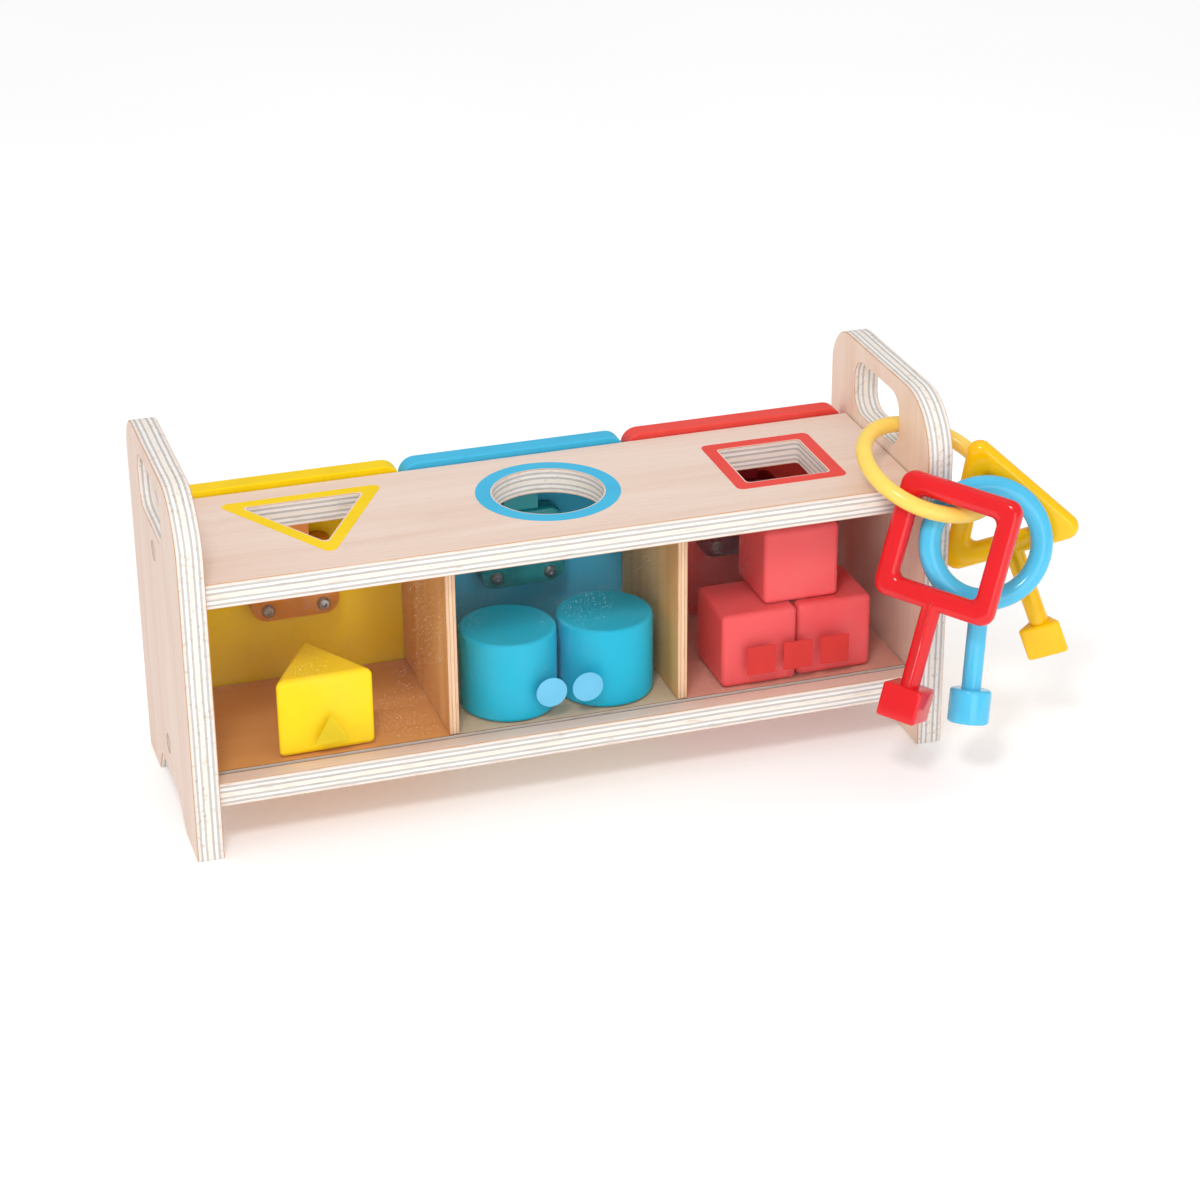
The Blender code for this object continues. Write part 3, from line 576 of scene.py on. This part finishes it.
def painted_borders(body):
    """Coats of paint round the three openings of the top shelf."""
    for kind, tint in zip(("triangle", "round", "square"), COLOURS):
        inner, outer = opening_outlines(kind)
        top = SHELF_HIGH.z
        paint = painted_wood(kind + "_border_paint", PAINT[tint], "X")
        piece = band(kind + "_border", inner, outer, top - FILM / 2, top + FILM, paint)
        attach(piece, body)


def print_shape(name, outline, material, body):
    """One printed shape on the window's front."""
    bm = bmesh.new()
    front = WINDOW_LOW.y
    extrude(bm, outline, front - FILM, front - FILM / 6, "Y")
    piece = add(name, mesh(bm, name), material)
    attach(piece, body)


def window_prints(body):
    """Triangle, discs and squares printed low on the window, one to three of them."""
    inks = {tint: ink(tint + "_ink", INK[tint], INK_COVER[tint]) for tint in COLOURS}
    middle = case(PRINT_TRIANGLE[0], 0.0, PRINT_TRIANGLE[1])
    corners = polygon((middle.x, middle.z), PRINT_TRIANGLE_R, 3, math.pi / 2)
    outline = rounded(corners, PRINT_CORNER_R["triangle"], 4)
    print_shape("window_triangle", outline, inks["yellow"], body)
    for k, x in enumerate(PRINT_DISC_X):
        outline = polygon((LEFT_X + x, PRINT_Z), PRINT_DISC_R, 64, 0.0)
        print_shape("window_disc_" + str(k + 1), outline, inks["blue"], body)
    half = PRINT_SQUARE_HALF
    corners = [(-half, -half), (half, -half), (half, half), (-half, half)]
    for k, x in enumerate(PRINT_SQUARE_X):
        outline = [(LEFT_X + x + a, PRINT_Z + b) for a, b in corners]
        outline = rounded(outline, PRINT_CORNER_R["square"], 4)
        print_shape("window_square_" + str(k + 1), outline, inks["red"], body)


# --- blocks ----------------------------------------------------------------------
def block(node, outline, material, edge, turn=0.0):
    """A block with generously rounded edges, filling its CAD node's box."""
    low, high = (Vector(corner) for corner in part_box(node))
    bm = bmesh.new()
    extrude(bm, outline, 0.0, high.z - low.z)
    bmesh.ops.transform(bm, matrix=Matrix.Rotation(turn, 4, "Z"), verts=bm.verts[:])
    across = [v.co.x for v in bm.verts]
    deep = [v.co.y for v in bm.verts]
    middle = Vector((min(across) + max(across), min(deep) + max(deep), 0.0)) / 2
    seat = Vector(((low.x + high.x) / 2, (low.y + high.y) / 2, low.z))
    bmesh.ops.translate(bm, verts=bm.verts[:], vec=seat - middle)
    piece = add(node + "_finish", mesh(bm, node + "_finish", 40.0), material)
    soften(piece, edge, 5, 40.0)
    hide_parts(node)
    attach(piece, node)


def blocks():
    """One prism, two cylinders and three cubes."""
    paint = {tint: painted_wood(tint + "_block_paint", BLOCK[tint], "Z") for tint in COLOURS}
    triangle = polygon((0.0, 0.0), PRISM_SIDE / math.sqrt(3), 3, math.pi / 2)
    block("yellow_prism", triangle, paint["yellow"], BLOCK_EDGE["prism"], PRISM_TURN)
    disc = polygon((0.0, 0.0), CYLINDER_R, 96, 0.0)
    for side in ("left", "right"):
        block("blue_cylinder_" + side, disc, paint["blue"], BLOCK_EDGE["cylinder"])
    half = CUBE_HALF
    square = [(-half, -half), (half, -half), (half, half), (-half, half)]
    for place in ("left", "right", "top"):
        block("red_cube_" + place, square, paint["red"], BLOCK_EDGE["cube"])


# --- ring and keys ------------------------------------------------------------------
def skin(bm, loops):
    """Join loops of corners with the same count into a closed ring of walls."""
    for a, b in zip(loops, loops[1:] + loops[:1]):
        for k in range(len(a)):
            j = (k + 1) % len(a)
            bm.faces.new((a[k], a[j], b[j], b[k]))


def tube(bm, path, section):
    """Sweep a closed section (across, thickness) along a path in the X-Z plane."""
    count = len(path)
    rings = []
    for k in range(count):
        here = Vector(path[k])
        ahead = (Vector(path[(k + 1) % count]) - here).normalized()
        back = (here - Vector(path[k - 1])).normalized()
        along_path = (ahead + back).normalized()
        outward = Vector((along_path.y, -along_path.x)) / max(along_path.dot(ahead), 0.5)
        rings.append([bm.verts.new((here.x + outward.x * u, v, here.y + outward.y * u)) for u, v in section])
    sides = len(section)
    for k in range(count):
        following = rings[(k + 1) % count]
        for i in range(sides):
            j = (i + 1) % sides
            bm.faces.new((rings[k][i], following[i], following[j], rings[k][j]))


def hand_frame(tint, material):
    """A key's hand frame and how far down the middle of its lowest bar runs."""
    bm = bmesh.new()
    if tint == "blue":
        tube(bm, polygon((0.0, 0.0), KEY_ROUND, 96, 0.0), polygon((0.0, 0.0), KEY_BAR, 32, 0.0))
        return add("key_loop", mesh(bm, "key_loop"), material), KEY_ROUND
    outlines = []
    for way, radius in zip((1, -1), KEY_SQUARE_R if tint == "red" else KEY_TRIANGLE_R):
        if tint == "red":
            s = KEY_SQUARE + way * KEY_BAR
            corners = [(-s, -s), (s, -s), (s, s), (-s, s)]
            foot = KEY_SQUARE
        else:
            reach = KEY_TRIANGLE / math.sqrt(3)
            corners = polygon((0.0, 0.0), reach + way * 2 * KEY_BAR, 3, math.pi / 2)
            foot = reach / 2
        outlines.append(rounded(corners, radius, 12))
    loops = []
    for outline in outlines:
        for level in (-KEY_HALF_T, KEY_HALF_T):
            loops.append([bm.verts.new((a, level, b)) for a, b in outline])
    skin(bm, (loops[0], loops[1], loops[3], loops[2]))
    loop = add("key_loop", mesh(bm, "key_loop"), material)
    soften(loop, KEY_BAR_EDGE, 6, 40.0)
    return loop, foot


def bit_outline(tint):
    """Section of a key's bit."""
    if tint == "yellow":
        corners = polygon((0.0, 0.0), KEY_BIT_W * KEY_BIT_TRIANGLE / math.sqrt(3), 3, math.pi / 2)
        return rounded(corners, KEY_BIT_R[tint], 5)
    if tint == "blue":
        return polygon((0.0, 0.0), KEY_BIT_W / 2, 64, 0.0)
    half = KEY_BIT_W / 2
    return rounded([(-half, -half), (half, -half), (half, half), (-half, half)], KEY_BIT_R[tint], 5)


def evaluated_mesh(obj, name, degrees):
    """The object's mesh with its modifiers applied."""
    graph = bpy.context.evaluated_depsgraph_get()
    data = bpy.data.meshes.new_from_object(obj.evaluated_get(graph))
    data.name = name
    smooth(data, degrees)
    return data


def union(obj, other):
    """Add a solid to an object by a Boolean."""
    step = obj.modifiers.new("join", "BOOLEAN")
    step.operation = "UNION"
    step.object = other
    step.solver = "EXACT"


def key(tint, material):
    """One moulded key: hand frame, round shaft and shaped bit."""
    loop, foot = hand_frame(tint, material)
    tip = foot + KEY_BAR + KEY_SHAFT
    bm = bmesh.new()
    section = polygon((0.0, 0.0), KEY_SHAFT_R, 40, 0.0)
    extrude(bm, section, -tip - SHAFT_INTO_BIT, -foot - SHAFT_INTO_FRAME)
    shaft = add("key_shaft", mesh(bm, "key_shaft"), material)
    bm = bmesh.new()
    extrude(bm, bit_outline(tint), -tip - KEY_BIT_L, -tip)
    bit = add("key_bit", mesh(bm, "key_bit"), material)
    soften(bit, KEY_BIT_EDGE, 4, 40.0)
    bpy.context.view_layer.update()
    union(loop, shaft)
    union(loop, bit)
    bpy.context.view_layer.update()
    name = tint + "_key_moulding"
    data = evaluated_mesh(loop, name, 38.0)
    for helper in (loop, shaft, bit):
        bpy.data.objects.remove(helper, do_unlink=True)
    spot, angles = KEY_POSES[tint]
    turn, lean, spin = (math.radians(a) for a in angles)
    matrix = Matrix.Rotation(turn, 4, "Z") @ Matrix.Rotation(lean, 4, "X") @ Matrix.Rotation(spin, 4, "Y")
    data.transform(Matrix.Translation(case(*spot)) @ matrix)
    piece = add(name, data, material)
    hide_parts(tint + "_key")
    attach(piece, tint + "_key")


def key_ring():
    """The smooth moulded ring through the handle slot."""
    bm = bmesh.new()
    tube(bm, polygon((0.0, 0.0), RING_R, 128, 0.0), polygon((0.0, 0.0), RING_TUBE_R, 32, 0.0))
    upright = RING_NORMAL.to_track_quat("Y", "Z").to_matrix().to_4x4()
    matrix = Matrix.Translation(case(*RING_CENTRE)) @ upright
    bmesh.ops.transform(bm, matrix=matrix, verts=bm.verts[:])
    plastic = moulded_plastic("ring_moulding", RING_COLOUR, 0.2, 0.2)
    piece = add("key_ring_moulding", mesh(bm, "key_ring_moulding"), plastic)
    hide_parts("key_ring")
    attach(piece, "key_ring")


# --- the case, its doors and its locks -------------------------------------------------
def boards():
    """Plywood boards with their plies on show."""
    left_low, left_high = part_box("left_end_panel")
    right_low, right_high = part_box("right_end_panel")
    left = plywood("left_panel_ply", "X", "Z", left_low[0], left_high[0], None)
    right = plywood("right_panel_ply", "X", "Z", right_low[0], right_high[0], None, PAINTED_LIGHT_VENEER)
    polish("left_end_panel", left, "frame")
    polish("right_end_panel", right, "frame")
    top = plywood("top_shelf_ply", "Z", "X", SHELF_LOW.z, SHELF_HIGH.z, "X")
    bottom = plywood("bottom_shelf_ply", "Z", "X", FLOOR_LOW.z, FLOOR_HIGH.z, "X", inside=True)
    polish("top_shelf", top, "frame")
    polish("bottom_shelf", bottom, "frame")
    for node in ("left_divider", "right_divider"):
        low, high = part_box(node)
        thin = plywood(node + "_ply", "X", "Z", low[0], high[0], "Z", DIVIDER_VENEER_AND_BOUNCE, THIN_PLIES)
        polish(node, thin, "frame")


def doors_and_locks():
    """Painted doors, their locks and rod, and the case's screws and dowels."""
    steel = brushed_steel("zinc_plate", ZINC)
    for tint in COLOURS:
        leaf = tint + "_door_leaf"
        polish(tint + "_door", painted_wood(tint + "_door_paint", PAINT[tint], "Z"), leaf)
        cover = clear_plastic(tint + "_cover_plastic", COVER[tint])
        polish(tint + "_lock_housing", cover, leaf)
        bolt = moulded_plastic(tint + "_bolt_plastic", COVER[tint], 0.3, 0.0)
        polish(tint + "_lock_bolt", bolt, tint + "_bolt")
        rotor = moulded_plastic(tint + "_rotor_plastic", PLASTIC[tint], 0.3, 0.05)
        polish(tint + "_lock_rotor", rotor, tint + "_rotor")
        for side in ("left", "right"):
            polish(tint + "_lock_screw_" + side, steel, leaf)
    polish("door_hinge_rod", steel, "frame")
    yellow_zinc = brushed_steel("yellow_zinc_plate", YELLOW_ZINC)
    beech = solid_wood("beech_dowel", "X", BEECH)
    for side in ("left", "right"):
        for level in ("top", "bottom"):
            polish(side + "_" + level + "_screw", yellow_zinc, "frame")
            for where in ("front", "rear"):
                polish("_".join((side, level, where, "dowel")), beech, "frame")


def window():
    """The clear front sheet."""
    polish("front_window", acrylic("clear_acrylic"), "frame")


# --- stage ------------------------------------------------------------------------------
def floor():
    """A plain pale table, faintly lit from within so that shadows stay light."""
    n = Nodes("pale_table")
    clouds = n.noise((3.0, 3.0, 3.0), 2.0, 0.5)
    tone = n.ramp(clouds, [(0.3, (0.94, 0.94, 0.94, 1.0)), (0.7, (0.96, 0.96, 0.96, 1.0))])
    n.shader.inputs["Emission Color"].default_value = WHITE
    n.shader.inputs["Emission Strength"].default_value = TABLE_GLOW
    material = n.finish(Base_Color=tone, Roughness=0.8, Specular_IOR_Level=0.1)
    bm = bmesh.new()
    bmesh.ops.create_grid(bm, x_segments=4, y_segments=4, size=TABLE_HALF)
    piece = add("table", mesh(bm, "table"), material)


def area_light(name, place, size, power):
    """A soft square lamp."""
    lamp = bpy.data.lights.new(name, "AREA")
    lamp.shape = "SQUARE"
    lamp.size = size
    lamp.energy = power
    obj = bpy.data.objects.new(name, lamp)
    bpy.context.scene.collection.objects.link(obj)
    obj.location = place
    obj.rotation_euler = (Vector(LIGHT_TARGET) - Vector(place)).to_track_quat("-Z", "Y").to_euler()


def lights():
    """Bright even surroundings, dimmer in reflections, a small key light and two soft ones."""
    world = bpy.data.worlds.new("studio")
    bpy.context.scene.world = world
    world.use_nodes = True
    background = world.node_tree.nodes["Background"]
    background.inputs["Color"].default_value = WHITE
    rays = world.node_tree.nodes.new("ShaderNodeLightPath")
    strength = world.node_tree.nodes.new("ShaderNodeMapRange")
    strength.inputs["To Min"].default_value = SKY
    strength.inputs["To Max"].default_value = SKY_IN_REFLECTIONS
    world.node_tree.links.new(rays.outputs["Is Glossy Ray"], strength.inputs["Value"])
    world.node_tree.links.new(strength.outputs["Result"], background.inputs["Strength"])
    for lamp in LIGHTS:
        area_light(*lamp)
    bpy.context.scene.view_settings.view_transform = "Standard"


def camera():
    """Camera at the reference viewing angle: above the front, from the left."""
    level = Vector((math.cos(CAMERA_TURN), -math.sin(CAMERA_TURN), 0.0))
    outward = Vector((math.sin(CAMERA_TURN), math.cos(CAMERA_TURN), 0.0))
    ahead = outward * math.cos(CAMERA_DOWN) - Vector((0.0, 0.0, math.sin(CAMERA_DOWN)))
    upward = level.cross(ahead)
    right = level * math.cos(CAMERA_ROLL) + upward * math.sin(CAMERA_ROLL)
    top = upward * math.cos(CAMERA_ROLL) - level * math.sin(CAMERA_ROLL)
    lens = bpy.data.cameras.new("camera")
    lens.sensor_width = 36.0
    lens.lens = LENS
    obj = bpy.data.objects.new("camera", lens)
    bpy.context.scene.collection.objects.link(obj)
    matrix = Matrix((right, top, -ahead)).transposed().to_4x4()
    matrix.translation = case(*CAMERA_PLACE)
    obj.matrix_world = matrix
    bpy.context.scene.camera = obj


boards()
window()
painted_borders("frame")
window_prints("frame")
doors_and_locks()
blocks()
for shade in COLOURS:
    key(shade, moulded_plastic(shade + "_key_plastic", PLASTIC[shade]))
key_ring()
floor()
lights()
camera()
